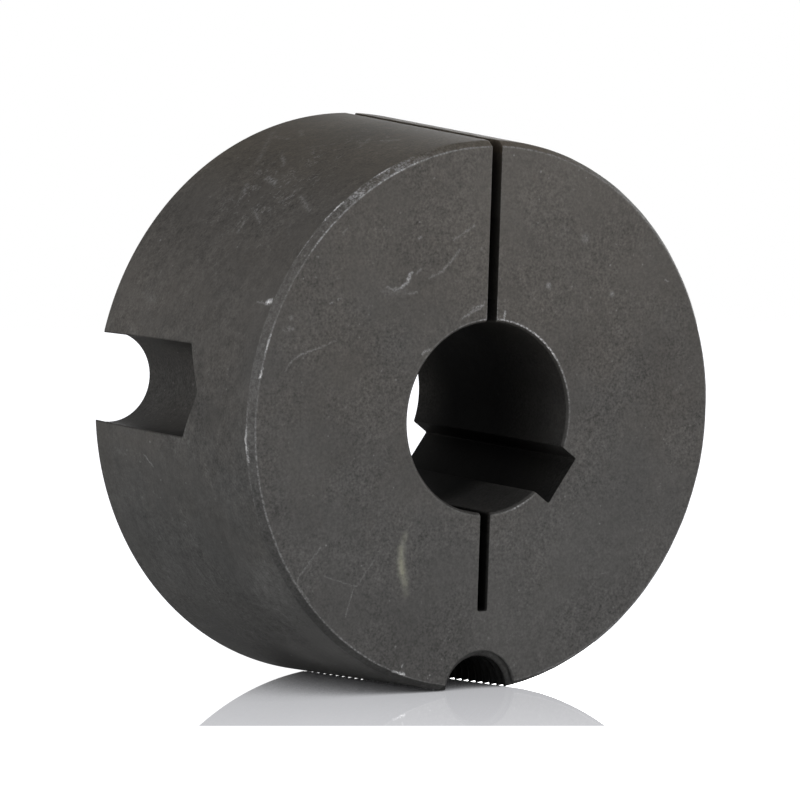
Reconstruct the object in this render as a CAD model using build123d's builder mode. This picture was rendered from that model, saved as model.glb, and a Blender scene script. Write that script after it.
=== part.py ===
from build123d import *
import os
from math import cos, degrees, atan, radians, sin, tan

# ---------------------------------------------------------------------------
# Split taper bush, 3020 size, 35 mm bore with a 10 mm keyway.
#
# One piece of grey cast iron. The bore axis lies along Y. The large end is the
# plane y = 0, and the small end faces -Y at y = -length. The split points up
# (+Z) and the threaded jacking half-hole points down (-Z), so that the bush
# rests on that half-hole's two edges. +X is to the right when the small end is
# looked at.
# ---------------------------------------------------------------------------

# Body
length = 50.8            # end to end, along the bore
large_dia = 108.0        # over the large end
taper_deg = 4.0          # of the outer cone, per side
small_chamfer_len = 1.35     # lead-in chamfer at the small end, along the axis
small_chamfer_drop = 0.94    # how far the small face's edge lies inside the cone
large_edge_break = 0.3       # broken edge at the large end

# Bore and keyway
bore_dia = 35.0
bore_chamfer = 0.45
key_width = 10.0
key_reach = 20.8         # axis to keyway floor: bore radius + 3.3
key_angle = -35.6        # degrees from +X towards +Z, about 4 o'clock
key_corner_r = 0.3

# Split and relief slot
split_width = 2.15       # right through the wall, at the top
slot_reach = 35.6        # axis to the end of the blind relief slot, at the bottom
slot_corner_r = 0.45

# Half-holes on the joint between the bush and its hub
jack_radius = 50.7       # axis to the jacking hole's own axis
jack_minor_dia = 13.4    # 5/8 in, 11 threads an inch: over the thread's crests
jack_major_dia = 15.6    # over the thread's roots
jack_pitch = 25.4 / 11
jack_root_flat = 0.38    # width of the thread's root
jack_flank_deg = 27.5    # half of the 55 degree thread angle
jack_csk_depth = 1.35    # countersink at the small end, up to the major diameter
plain_radius = 51.1      # axis to each plain half-hole's own axis
plain_dia = 16.8         # clears the 5/8 in screw
plain_depth = 29.1       # full diameter, from the large end
plain_angle = 175.4      # the first plain half-hole; the second is opposite it
plain_tip = 4.5          # height of the drilled cone at the blind end

large_r = large_dia / 2
small_r = large_r - length * tan(radians(taper_deg))     # cone carried to y = -length
bore_r = bore_dia / 2


def cone_r(y):
    """Radius of the outer cone at y."""
    return large_r + y * tan(radians(taper_deg))


# Cutting shape of the jacking half-hole: a rod over the thread's crests with a
# right-hand helical ridge on it, longer than the bush at both ends
jack_thread_depth = (jack_major_dia - jack_minor_dia) / 2
ridge_overlap = 0.25     # how far the ridge starts inside the rod
ridge_top_half = jack_root_flat / 2
ridge_foot_half = ridge_top_half + (jack_thread_depth + ridge_overlap) * tan(
    radians(jack_flank_deg)
)
overrun = 1.3 * jack_pitch

with BuildPart() as jack_ridge:
    with BuildLine() as helix:
        Helix(
            pitch=jack_pitch,
            height=length + 2 * overrun,
            radius=jack_minor_dia / 2,
            center=(0, overrun, -jack_radius),
            direction=(0, -1, 0),
        )
    start = helix.wire() @ 0
    outward = start - Vector(0, start.Y, -jack_radius)
    with BuildSketch(Plane(origin=start, x_dir=outward, z_dir=helix.wire() % 0)):
        with BuildLine():
            Polyline(
                (-ridge_overlap, -ridge_foot_half),
                (jack_thread_depth, -ridge_top_half),
                (jack_thread_depth, ridge_top_half),
                (-ridge_overlap, ridge_foot_half),
                close=True,
            )
        make_face()
    sweep(path=helix.wire(), is_frenet=True)

with BuildPart() as jack_thread:
    with Locations(Location((0, -length / 2, -jack_radius), (90, 0, 0))):
        Cylinder(radius=jack_minor_dia / 2, height=length + 8)
    add(jack_ridge.part)

with BuildPart() as taper_bush:
    # Body with its bore, both bore chamfers, the small end's chamfer and the
    # large end's broken edge, turned in one go
    with BuildSketch(Plane.XY):
        with BuildLine():
            Polyline(
                (bore_r + bore_chamfer, 0),
                (large_r - large_edge_break, 0),
                (cone_r(-large_edge_break), -large_edge_break),
                (cone_r(-length + small_chamfer_len), -length + small_chamfer_len),
                (small_r - small_chamfer_drop, -length),
                (bore_r + bore_chamfer, -length),
                (bore_r, -length + bore_chamfer),
                (bore_r, -bore_chamfer),
                close=True,
            )
        make_face()
    revolve(axis=Axis.Y)

    # Keyway, full length. The bush is cut from its large end to its small end.
    with BuildSketch(Plane.XZ) as key_sketch:
        with Locations(Location((0, 0), key_angle)):
            with Locations((key_reach / 2, 0)):
                Rectangle(key_reach, key_width)
        outer = key_sketch.vertices().sort_by_distance((0, 0, 0))[-2:]
        fillet(outer, radius=key_corner_r)
    extrude(amount=length, mode=Mode.SUBTRACT)

    # Split, from the bore out through the cone
    with BuildSketch(Plane.XZ):
        with Locations((0, (bore_r + large_r) / 2)):
            Rectangle(split_width, large_r - bore_r + 6)
    extrude(amount=length, mode=Mode.SUBTRACT)

    # Blind relief slot opposite the split, which lets the bush close evenly
    with BuildSketch(Plane.XZ) as slot_sketch:
        with Locations((0, -slot_reach / 2)):
            Rectangle(split_width, slot_reach)
        fillet(slot_sketch.vertices().group_by(Axis.Z)[0], radius=slot_corner_r)
    extrude(amount=length, mode=Mode.SUBTRACT)

    # Jacking half-hole: threaded right through, with a countersink at the small
    # end
    add(jack_thread.part, mode=Mode.SUBTRACT)
    with BuildSketch(Plane.XZ.offset(length)):
        with Locations((0, -jack_radius)):
            Circle(jack_major_dia / 2)
    extrude(
        amount=-jack_csk_depth,
        taper=degrees(atan((jack_major_dia - jack_minor_dia) / 2 / jack_csk_depth)),
        mode=Mode.SUBTRACT,
    )

    # Two plain half-holes from the large end, each with a drilled cone at its
    # blind end
    for angle in (plain_angle, plain_angle - 180):
        cx = plain_radius * cos(radians(angle))
        cz = plain_radius * sin(radians(angle))
        with BuildSketch(Plane.XY.offset(cz)):
            with Locations((cx, 0)):
                with BuildLine():
                    Polyline(
                        (cx, 0),
                        (cx + plain_dia / 2, 0),
                        (cx + plain_dia / 2, -plain_depth),
                        (cx, -plain_depth - plain_tip),
                        close=True,
                    )
                make_face()
        revolve(axis=Axis((cx, 0, cz), (0, 1, 0)), mode=Mode.SUBTRACT)

taper_bush.part.label = "taper_bush"
os.makedirs("parts", exist_ok=True)
export_step(taper_bush.part, "parts/taper_bush.step")
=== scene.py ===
import math

import bmesh
import bpy
import numpy as np
from mathutils import Matrix, Vector


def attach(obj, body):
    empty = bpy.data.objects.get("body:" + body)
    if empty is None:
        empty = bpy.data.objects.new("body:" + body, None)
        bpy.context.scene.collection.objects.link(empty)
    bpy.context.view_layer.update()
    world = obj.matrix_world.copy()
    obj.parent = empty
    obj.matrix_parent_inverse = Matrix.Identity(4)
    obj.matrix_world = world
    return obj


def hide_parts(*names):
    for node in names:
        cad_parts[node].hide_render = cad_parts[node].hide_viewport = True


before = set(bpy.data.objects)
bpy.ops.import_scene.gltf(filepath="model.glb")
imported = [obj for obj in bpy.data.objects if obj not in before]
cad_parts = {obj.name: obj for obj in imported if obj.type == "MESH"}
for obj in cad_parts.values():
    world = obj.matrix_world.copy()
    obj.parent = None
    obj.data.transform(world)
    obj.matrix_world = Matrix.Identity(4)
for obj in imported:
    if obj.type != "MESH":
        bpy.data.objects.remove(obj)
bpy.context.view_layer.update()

# ---------------------------------------------------------------------------
# Shape of the bush, in millimetres, in the row frame: bore axis along Y, large
# end at y = 0, small end at y = -50.8, split up, jacking half-hole down.
# ---------------------------------------------------------------------------
LENGTH = 50.8
LARGE_R = 54.0
TAPER = math.tan(math.radians(4.0))
CHAMFER_LEN, CHAMFER_DROP = 1.35, 0.94
BORE_R, BORE_CHAMFER = 17.5, 0.45
HALF_SPLIT = 2.15 / 2
SLOT_REACH, SLOT_CORNER = 35.6, 0.45
KEY_W, KEY_REACH, KEY_ANGLE, KEY_CORNER = 10.0, 20.8, -35.6, 0.3
JACK_R, JACK_MINOR, JACK_MAJOR, PITCH = 50.7, 6.7, 7.8, 25.4 / 11
PLAIN_R, PLAIN_HOLE, PLAIN_DEPTH, PLAIN_ANGLE, PLAIN_TIP = 51.1, 8.4, 29.1, 175.4, 4.5
EDGE = 0.16      # fillet on the lengthwise edges
END_EDGE = 0.11  # rounding where a wall meets an end face


def soft_ramp(d, w):
    """max(0, d) with its corner rounded over about w."""
    return 0.5 * (d + math.sqrt(d * d + w * w))


def outer_r(y):
    """Outer cone with the small end's chamfer and the large end's broken edge."""
    r = LARGE_R + y * TAPER
    r -= CHAMFER_DROP / CHAMFER_LEN * soft_ramp(CHAMFER_LEN - (y + LENGTH), 0.12)
    r -= soft_ramp(0.2 + y, 0.04)
    return r


def bore_r(y):
    r = BORE_R
    r += soft_ramp(BORE_CHAMFER - (y + LENGTH), 0.05)
    r += soft_ramp(BORE_CHAMFER + y, 0.05)
    return r


def plain_hole_r(y):
    """Radius of the blind half-holes at y, 0 past their drilled ends."""
    if y > -PLAIN_DEPTH:
        return PLAIN_HOLE
    return max(0.0, PLAIN_HOLE * (1 + (y + PLAIN_DEPTH) / PLAIN_TIP))


def unit(x, z):
    n = math.hypot(x, z) or 1.0
    return np.array([x / n, z / n])


def fillet(c, a, b, r, n=4):
    """n points round the corner c, between the sides that leave it along a and b."""
    cosang = float(np.clip(np.dot(a, b), -0.999, 0.999))
    d = r / math.tan(math.acos(cosang) / 2)
    p0, p2 = c + a * d, c + b * d
    out = []
    for t in np.linspace(0, 1, n):
        w = 0.42  # close to a true arc for right angles
        p = (1 - t) ** 2 * p0 + 2 * t * (1 - t) * (c * (0.5 + w / 2) + (p0 + p2) / 2 * (0.5 - w / 2)) + t * t * p2
        out.append(p)
    return out


def on_circle(r, deg):
    t = math.radians(deg)
    return np.array([r * math.cos(t), r * math.sin(t)])


def arc(r, d0, d1, n):
    """n points strictly between two angles, in degrees."""
    return [on_circle(r, d0 + (d1 - d0) * (k + 1) / (n + 1)) for k in range(n)]


def line(p, q, n):
    return [p + (q - p) * (k + 1) / (n + 1) for k in range(n)]


def reach(a, b, r):
    """How far along each side a fillet of radius r starts."""
    return r / math.tan(math.acos(float(np.clip(np.dot(a, b), -0.999, 0.999))) / 2)


def half_hole_sector(ro, y, centre_deg, half, n_cone, n_dent):
    """The outer circle from centre+half to centre-half, dented by a plain half-hole.
    Always 2 * n_cone + 8 + n_dent points."""
    total = 2 * n_cone + 8 + n_dent
    rh = plain_hole_r(y)
    u = (ro * ro + PLAIN_R ** 2 - rh * rh) / (2 * PLAIN_R)
    v2 = ro * ro - u * u
    if rh < 1.1 or v2 < 0.2:
        return arc(ro, centre_deg + half, centre_deg - half, total)
    v = math.sqrt(v2)
    e_r, e_t = on_circle(1.0, centre_deg), on_circle(1.0, centre_deg + 90)   # radial, tangential
    edge_deg = math.degrees(math.asin(v / ro))
    psi = math.atan2(v, u - PLAIN_R)            # the edges' angle about the hole's own axis

    def at(p):
        return PLAIN_R * e_r + rh * (math.cos(p) * e_r + math.sin(p) * e_t)

    c1, c2 = at(psi), at(-psi)
    t1 = -math.sin(psi) * e_r + math.cos(psi) * e_t      # down the wall from the first edge
    t2 = -math.sin(psi) * e_r - math.cos(psi) * e_t      # and from the second
    k1 = unit(*(on_circle(ro, centre_deg + edge_deg + 0.2) - c1))    # along the cone, off the dent
    k2 = unit(*(on_circle(ro, centre_deg - edge_deg - 0.2) - c2))
    r = min(EDGE, 0.2 * v)
    d = reach(k1, t1, r)
    step_o = math.degrees(1.35 * d / ro)
    out = arc(ro, centre_deg + half, centre_deg + edge_deg + step_o, n_cone - 1)
    out.append(on_circle(ro, centre_deg + edge_deg + step_o))
    out += fillet(c1, k1, t1, r)
    p0 = psi + 1.35 * d / rh
    out += [at(p0 + (2 * math.pi - 2 * p0) * k / (n_dent - 1)) for k in range(n_dent)]
    out += fillet(c2, t2, k2, r)
    out.append(on_circle(ro, centre_deg - edge_deg - step_o))
    out += arc(ro, centre_deg - edge_deg - step_o, centre_deg - half, n_cone - 1)
    return out


HALF_SECTOR = 12.0


def section(y):
    """One cross-section as a closed loop of points (x, z), clockwise seen from -Y."""
    ro, rb = outer_r(y), bore_r(y)
    zt = math.sqrt(ro * ro - HALF_SPLIT ** 2)
    zb = math.sqrt(rb * rb - HALF_SPLIT ** 2)
    edge_o = math.degrees(math.asin((HALF_SPLIT + EDGE * 1.2) / ro))
    edge_b = math.degrees(math.asin((HALF_SPLIT + EDGE * 1.2) / rb))
    up, down = np.array([0.0, 1.0]), np.array([0.0, -1.0])
    P = []
    # split, right wall, at the outside
    c = np.array([HALF_SPLIT, zt])
    P += fillet(c, down, unit(zt, -HALF_SPLIT), EDGE)
    right_c, left_c = PLAIN_ANGLE - 180, PLAIN_ANGLE - 360     # -4.6 and -184.6
    P += arc(ro, 90 - edge_o, right_c + HALF_SECTOR, 112)
    P.append(on_circle(ro, right_c + HALF_SECTOR))
    P += half_hole_sector(ro, y, right_c, HALF_SECTOR, 6, 36)
    P.append(on_circle(ro, right_c - HALF_SECTOR))
    P += arc(ro, right_c - HALF_SECTOR, left_c + HALF_SECTOR, 208)
    P.append(on_circle(ro, left_c + HALF_SECTOR))
    P += half_hole_sector(ro, y, left_c, HALF_SECTOR, 6, 36)
    P.append(on_circle(ro, left_c - HALF_SECTOR))
    P += arc(ro, left_c - HALF_SECTOR, -270 + edge_o, 98)
    c = np.array([-HALF_SPLIT, zt])
    P += fillet(c, unit(-zt, -HALF_SPLIT), down, EDGE)
    P += line(np.array([-HALF_SPLIT, zt - 0.3]), np.array([-HALF_SPLIT, zb + 0.3]), 16)
    c = np.array([-HALF_SPLIT, zb])
    P += fillet(c, up, unit(-zb, -HALF_SPLIT), EDGE)
    P += arc(rb, 90 + edge_b, 270 - edge_b, 86)
    c = np.array([-HALF_SPLIT, -zb])
    P += fillet(c, unit(-zb, HALF_SPLIT), down, EDGE)
    P += line(np.array([-HALF_SPLIT, -zb - 0.3]), np.array([-HALF_SPLIT, -SLOT_REACH + 0.5]), 9)
    P += fillet(np.array([-HALF_SPLIT, -SLOT_REACH]), up, np.array([1.0, 0.0]), SLOT_CORNER, 5)
    P += fillet(np.array([HALF_SPLIT, -SLOT_REACH]), np.array([-1.0, 0.0]), up, SLOT_CORNER, 5)
    P += line(np.array([HALF_SPLIT, -SLOT_REACH + 0.5]), np.array([HALF_SPLIT, -zb - 0.3]), 9)
    c = np.array([HALF_SPLIT, -zb])
    P += fillet(c, down, unit(zb, HALF_SPLIT), EDGE)
    # bore up to the keyway, the keyway, and the bore on to the split
    d, n = on_circle(1.0, KEY_ANGLE), on_circle(1.0, KEY_ANGLE + 90)
    q = math.sqrt(rb * rb - (KEY_W / 2) ** 2)
    half_key = math.degrees(math.asin((KEY_W / 2 + EDGE * 1.0) / rb))
    P += arc(rb, -90 + edge_b, KEY_ANGLE - half_key, 17)
    c = q * d - KEY_W / 2 * n
    tangent = unit(*(on_circle(rb, KEY_ANGLE - half_key - 1) - c))
    P += fillet(c, tangent, d, EDGE)
    P += line(c + 0.25 * d, KEY_REACH * d - KEY_W / 2 * n - 0.45 * d, 3)
    P += fillet(KEY_REACH * d - KEY_W / 2 * n, -d, n, KEY_CORNER, 5)
    P += line(KEY_REACH * d - (KEY_W / 2 - 0.4) * n, KEY_REACH * d + (KEY_W / 2 - 0.4) * n, 7)
    P += fillet(KEY_REACH * d + KEY_W / 2 * n, -n, -d, KEY_CORNER, 5)
    c2 = q * d + KEY_W / 2 * n
    P += line(KEY_REACH * d + KEY_W / 2 * n - 0.45 * d, c2 + 0.25 * d, 3)
    tangent = unit(*(on_circle(rb, KEY_ANGLE + half_key + 1) - c2))
    P += fillet(c2, d, tangent, EDGE)
    P += arc(rb, KEY_ANGLE + half_key, 90 - edge_b, 53)
    c = np.array([HALF_SPLIT, zb])
    P += fillet(c, unit(zb, -HALF_SPLIT), up, EDGE)
    P += line(np.array([HALF_SPLIT, zb + 0.3]), np.array([HALF_SPLIT, zt - 0.3]), 16)
    return np.array(P)


def inset(P, b):
    """The loop moved b into the metal, which is on the right of its direction."""
    e = np.roll(P, -1, axis=0) - P
    e /= np.linalg.norm(e, axis=1)[:, None]
    right = np.stack([e[:, 1], -e[:, 0]], 1)
    m = right + np.roll(right, 1, axis=0)
    ln = np.linalg.norm(m, axis=1)
    m /= ln[:, None]
    return P + m * b * np.minimum(2 / np.maximum(ln, 1e-6), 1.4)[:, None]


def stations():
    lo = [0.0, 0.012, 0.032, 0.06, END_EDGE, 0.17, 0.26, 0.36, 0.43, 0.5, 0.62, 0.78, 0.96, 1.12, 1.22,
          1.29, 1.35, 1.41, 1.5, 1.65, 1.9, 2.3, 2.9, 3.7, 4.7, 5.9, 7.3, 9.0]
    lo = [-LENGTH + v for v in lo]
    mid = [-LENGTH + v for v in np.arange(10.8, 17.0, 1.8)]
    tip = [-PLAIN_DEPTH - PLAIN_TIP * (1 - r / PLAIN_HOLE) for r in
           (1.08, 1.12, 1.4, 1.8, 2.3, 2.9, 3.6, 4.4, 5.2, 6.0, 6.8, 7.5, 8.1)]
    cyl = [-PLAIN_DEPTH - 0.06, -PLAIN_DEPTH + 0.06, -PLAIN_DEPTH + 0.3, -28.0]
    hi = list(np.arange(-26.4, -2.5, 1.9))
    end = [-1.9, -1.3, -0.9, -0.65, -0.5, -0.42, -0.36, -0.31, -0.26, -0.2, -0.15, -END_EDGE, -0.06, -0.032, -0.012, 0.0]
    ys = sorted(set(round(float(v), 5) for v in lo + mid + tip + cyl + hi + end))
    return ys


def end_inset(y):
    """Quarter round between the walls and an end face."""
    d = min(y + LENGTH, -y)
    if d >= END_EDGE:
        return 0.0
    return END_EDGE - math.sqrt(max(0.0, END_EDGE ** 2 - (END_EDGE - d) ** 2))


def wobble(x, y, z, seed):
    """Smooth pseudo-noise, about -1 to 1, from a few fixed sine waves."""
    rng = np.random.default_rng(seed)
    total = 0.0
    for _ in range(9):
        k = rng.normal(size=3)
        k /= np.linalg.norm(k)
        f = rng.uniform(0.25, 1.5)
        total = total + np.sin(f * (k[0] * x + k[1] * y + k[2] * z) + rng.uniform(0, 6.28)) / 9 ** 0.5
    return total


def build_body():
    ys = stations()
    rings = []
    for y in ys:
        P = section(y)
        b = end_inset(y)
        if b > 0:
            P = inset(P, b)
        rings.append(np.stack([P[:, 0], np.full(len(P), y), P[:, 1]], 1))
    V = np.array(rings)
    m, n = V.shape[:2]
    # worn unevenness of the small end's chamfer and both its edges, a few hundredths of a millimetre
    x, y, z = V[..., 0], V[..., 1], V[..., 2]
    r = np.hypot(x, z)
    near_outer = np.exp(-((r - 49.9) / 0.9) ** 2) * np.exp(-(np.clip(y + LENGTH - 1.6, 0, None) / 0.5) ** 2)
    dr = near_outer * (0.035 * wobble(x, y, z, 3) + 0.02 * wobble(2.3 * x, 2.3 * y, 2.3 * z, 4)) - 0.03 * near_outer
    V[..., 0] += dr * x / r
    V[..., 2] += dr * z / r
    verts = V.reshape(-1, 3)
    faces = []
    for i in range(m - 1):
        a, b = i * n, (i + 1) * n
        for j in range(n):
            k = (j + 1) % n
            faces.append((a + j, a + k, b + k, b + j))
    faces.append(tuple(range(n - 1, -1, -1)))
    faces.append(tuple((m - 1) * n + j for j in range(n)))
    return verts, faces


def mesh_object(name, verts, faces):
    me = bpy.data.meshes.new(name)
    me.from_pydata([tuple(v) for v in np.asarray(verts) * 0.001], [], faces)
    me.validate(verbose=False)
    ob = bpy.data.objects.new(name, me)
    bpy.context.scene.collection.objects.link(ob)
    bm = bmesh.new()
    bm.from_mesh(me)
    bmesh.ops.recalc_face_normals(bm, faces=bm.faces[:])
    bm.to_mesh(me)
    bm.free()
    return ob


def build_thread_tool():
    """Rod over the thread's crests with the helical ridge that cuts the groove."""
    M = 72
    depth = JACK_MAJOR - JACK_MINOR
    root, flank = 0.38, depth * math.tan(math.radians(27.5))
    c = 0.07
    # along one pitch: offsets and radii, corners broken by about c
    prof = [(-root / 2, JACK_MAJOR - c * 0.35), (-root / 2 + c, JACK_MAJOR), (root / 2 - c, JACK_MAJOR),
            (root / 2, JACK_MAJOR - c * 0.35), (root / 2 + flank * 0.5, JACK_MINOR + depth * 0.5),
            (root / 2 + flank - c * 0.6, JACK_MINOR + c * 0.9), (root / 2 + flank + c, JACK_MINOR),
            (PITCH / 2, JACK_MINOR),
            (PITCH - root / 2 - flank - c, JACK_MINOR), (PITCH - root / 2 - flank + c * 0.6, JACK_MINOR + c * 0.9),
            (PITCH - root / 2 - flank * 0.5, JACK_MINOR + depth * 0.5)]
    K = len(prof)
    turns = 26
    y_start = -LENGTH - 1.7 * PITCH
    verts, index = [], {}
    # right-handed: along +Y the ridge turns about +Y; angle a from +X towards -Z
    for j in range(M):
        a = 2 * math.pi * j / M
        for k in range(K * turns):
            off, rad = prof[k % K]
            y = y_start + (k // K) * PITCH + off + PITCH * j / M
            index[(j, k)] = len(verts)
            verts.append((rad * math.cos(a), y, -JACK_R - rad * math.sin(a)))
    faces = []
    top = K * turns - 1
    for j in range(M):
        for k in range(top):
            if j + 1 < M:
                faces.append((index[(j, k)], index[(j, k + 1)], index[(j + 1, k + 1)], index[(j + 1, k)]))
            elif k + K + 1 <= top:
                faces.append((index[(j, k)], index[(j, k + 1)], index[(0, k + K + 1)], index[(0, k + K)]))
    low = len(verts)
    verts.append((0, y_start - 1.0, -JACK_R))
    high = len(verts)
    verts.append((0, y_start + (turns + 1) * PITCH + 1.0, -JACK_R))
    ring = [index[(j, 0)] for j in range(M)] + [index[(0, k)] for k in range(K, 0, -1)]
    for p, q in zip(ring, ring[1:] + ring[:1]):
        faces.append((p, q, low))
    ring = [index[(j, top)] for j in range(M)]
    ring = [index[(0, k)] for k in range(top - K, top)] + ring
    ring = [index[(j, top)] for j in range(M)]
    # the far boundary: rows at top for each j, then back down the seam
    ring = ring + [index[(M - 1, k)] for k in range(top - 1, top - K - 1, -1)]
    far = [index[(j, top)] for j in range(M)] + [index[(M - 1, k)] for k in range(top - 1, top - K, -1)]
    far.append(index[(M - 1, top - K)])
    for p, q in zip(far, far[1:]):
        faces.append((p, q, high))
    faces.append((far[-1], index[(0, top)], high))
    return verts, faces


def build_countersink_tool():
    """Cone that opens the jacking hole at the small end, with a rounded mouth."""
    M = 96
    e = 0.14
    depth = 1.35
    slope = (JACK_MAJOR - JACK_MINOR) / depth
    prof = [(-2.0, 0.0), (-2.0, JACK_MAJOR + 0.25)]
    prof.append((-0.3, JACK_MAJOR + 0.25))
    for t in np.linspace(0, 1, 5):
        ang = t * math.radians(50)
        prof.append((e * math.sin(ang) * 0.9 - 0.002, JACK_MAJOR + 0.16 - e * (1 - math.cos(ang)) * 2.3 - 0.05 * t))
    prof.append((depth, JACK_MINOR))
    prof.append((depth + 0.35, JACK_MINOR - 0.5))
    prof.append((depth + 0.35, 0.0))
    verts, faces = [], []
    rows = []
    for d, r in prof:
        y = -LENGTH + d
        if r == 0:
            rows.append([len(verts)])
            verts.append((0, y, -JACK_R))
        else:
            row = []
            for j in range(M):
                a = 2 * math.pi * j / M
                row.append(len(verts))
                verts.append((r * math.cos(a), y, -JACK_R + r * math.sin(a)))
            rows.append(row)
    for A, B in zip(rows, rows[1:]):
        for j in range(M):
            k = (j + 1) % M
            if len(A) == 1:
                faces.append((A[0], B[j], B[k]))
            elif len(B) == 1:
                faces.append((A[j], A[k], B[0]))
            else:
                faces.append((A[j], A[k], B[k], B[j]))
    return verts, faces


def subtract(ob, tool):
    mod = ob.modifiers.new("cut", "BOOLEAN")
    mod.operation = "DIFFERENCE"
    mod.solver = "EXACT"
    mod.object = tool
    dg = bpy.context.evaluated_depsgraph_get()
    me = bpy.data.meshes.new_from_object(ob.evaluated_get(dg))
    ob.modifiers.remove(mod)
    old = ob.data
    ob.data = me
    bpy.data.meshes.remove(old)
    bpy.data.objects.remove(tool)


bush = mesh_object("bush_body", *build_body())
print("body faces", len(bush.data.polygons))
subtract(bush, mesh_object("thread_tool", *build_thread_tool()))
print("after thread", len(bush.data.polygons))
subtract(bush, mesh_object("countersink_tool", *build_countersink_tool()))
print("after countersink", len(bush.data.polygons))

bm = bmesh.new()
bm.from_mesh(bush.data)
bmesh.ops.remove_doubles(bm, verts=bm.verts[:], dist=2e-7)
bmesh.ops.dissolve_degenerate(bm, edges=bm.edges[:], dist=1e-7)
for f in bm.faces:
    f.smooth = True
limit = math.radians(38)
for e in bm.edges:
    if len(e.link_faces) == 2:
        e.smooth = e.calc_face_angle(0.0) < limit
print("open edges", sum(1 for e in bm.edges if len(e.link_faces) != 2),
      "triangles", sum(len(f.verts) - 2 for f in bm.faces))
bm.to_mesh(bush.data)
bm.free()
wn = bush.modifiers.new("weighted_normals", "WEIGHTED_NORMAL")
wn.mode = "FACE_AREA"
wn.keep_sharp = True
dg = bpy.context.evaluated_depsgraph_get()
me = bpy.data.meshes.new_from_object(bush.evaluated_get(dg))
bush.modifiers.clear()
bush.data = me
bush.name = "taper_bush_body"

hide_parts("taper_bush")
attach(bush, "root")

# ---------------------------------------------------------------------------
# Material. Everything is worked out from the object's own coordinates, in
# millimetres: x across, y along the bore, z up.
# ---------------------------------------------------------------------------
class Graph:
    """Short names for the nodes that the materials use."""

    def __init__(self, tree):
        self.tree = tree

    def node(self, kind, **props):
        n = self.tree.nodes.new("ShaderNode" + kind)
        for k, v in props.items():
            setattr(n, k, v)
        return n

    def put(self, socket, value):
        if hasattr(value, "links"):
            self.tree.links.new(value, socket)
        else:
            socket.default_value = value

    def math(self, op, a, b=0.0, clamp=False):
        n = self.node("Math", operation=op, use_clamp=clamp)
        self.put(n.inputs[0], a)
        self.put(n.inputs[1], b)
        return n.outputs[0]

    def add(self, a, b):
        return self.math("ADD", a, b)

    def mul(self, a, b):
        return self.math("MULTIPLY", a, b)

    def mad(self, a, b, c):
        return self.add(self.mul(a, b), c)

    def most(self, a, b):
        return self.math("MAXIMUM", a, b)

    def vec(self, op, a, b=None, out=0):
        n = self.node("VectorMath", operation=op)
        self.put(n.inputs[0], a)
        if b is not None:
            self.put(n.inputs[1], b)
        return n.outputs[out]

    def scale(self, a, s):
        n = self.node("VectorMath", operation="SCALE")
        self.put(n.inputs[0], a)
        self.put(n.inputs["Scale"], s)
        return n.outputs[0]

    def length(self, a, b):
        n = self.node("CombineXYZ")
        self.put(n.inputs[0], a)
        self.put(n.inputs[1], b)
        return self.vec("LENGTH", n.outputs[0], out=1)

    def step(self, v, lo, hi):
        """0 at lo, 1 at hi, smooth between; lo may be the larger."""
        n = self.node("MapRange", interpolation_type="SMOOTHSTEP")
        self.put(n.inputs["Value"], v)
        self.put(n.inputs["From Min"], lo)
        self.put(n.inputs["From Max"], hi)
        return n.outputs[0]

    def noise(self, v, scale, detail=2.0, rough=0.55, shift=0.0):
        n = self.node("TexNoise", noise_dimensions="3D")
        if shift:
            v = self.vec("ADD", v, (shift, shift * 0.7, -shift * 1.3))
        self.put(n.inputs["Vector"], v)
        n.inputs["Scale"].default_value = scale
        n.inputs["Detail"].default_value = detail
        n.inputs["Roughness"].default_value = rough
        return n.outputs[0]

    def xyz(self, v):
        n = self.node("SeparateXYZ")
        self.put(n.inputs[0], v)
        return n.outputs[0], n.outputs[1], n.outputs[2]

    def vector(self, x, y, z):
        n = self.node("CombineXYZ")
        for k, v in enumerate((x, y, z)):
            self.put(n.inputs[k], v)
        return n.outputs[0]

    def curve(self, v, lo, hi, stops):
        """Piecewise line through (where, level) stops, levels 0 to 1."""
        n = self.node("ValToRGB")
        cr = n.color_ramp
        cr.interpolation = "LINEAR"
        while len(cr.elements) > 1:
            cr.elements.remove(cr.elements[-1])
        for i, (where, level) in enumerate(stops):
            pos = (where - lo) / (hi - lo)
            e = cr.elements[0] if i == 0 else cr.elements.new(pos)
            e.position = pos
            e.color = (level, level, level, 1)
        t = self.math("MULTIPLY", self.add(v, -lo), 1.0 / (hi - lo))
        self.put(n.inputs[0], t)
        return n.outputs[0]


def stroke_group():
    """Node group: how strongly a point lies on the stroke from A to B."""
    tree = bpy.data.node_groups.new("stroke", "ShaderNodeTree")
    face = tree.interface
    for name, kind in (("P", "NodeSocketVector"), ("A", "NodeSocketVector"), ("B", "NodeSocketVector"),
                       ("Width", "NodeSocketFloat"), ("Strength", "NodeSocketFloat")):
        face.new_socket(name, in_out="INPUT", socket_type=kind)
    face.new_socket("Mask", in_out="OUTPUT", socket_type="NodeSocketFloat")
    g = Graph(tree)
    gi, go = tree.nodes.new("NodeGroupInput"), tree.nodes.new("NodeGroupOutput")
    pa = g.vec("SUBTRACT", gi.outputs["P"], gi.outputs["A"])
    ba = g.vec("SUBTRACT", gi.outputs["B"], gi.outputs["A"])
    h = g.math("DIVIDE", g.vec("DOT_PRODUCT", pa, ba, out=1), g.add(g.vec("DOT_PRODUCT", ba, ba, out=1), 1e-4), clamp=True)
    d = g.vec("LENGTH", g.vec("SUBTRACT", pa, g.scale(ba, h)), out=1)
    g.put(go.inputs["Mask"], g.mul(g.step(d, gi.outputs["Width"], 0.0), gi.outputs["Strength"]))
    return tree


STROKE = stroke_group()


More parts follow.
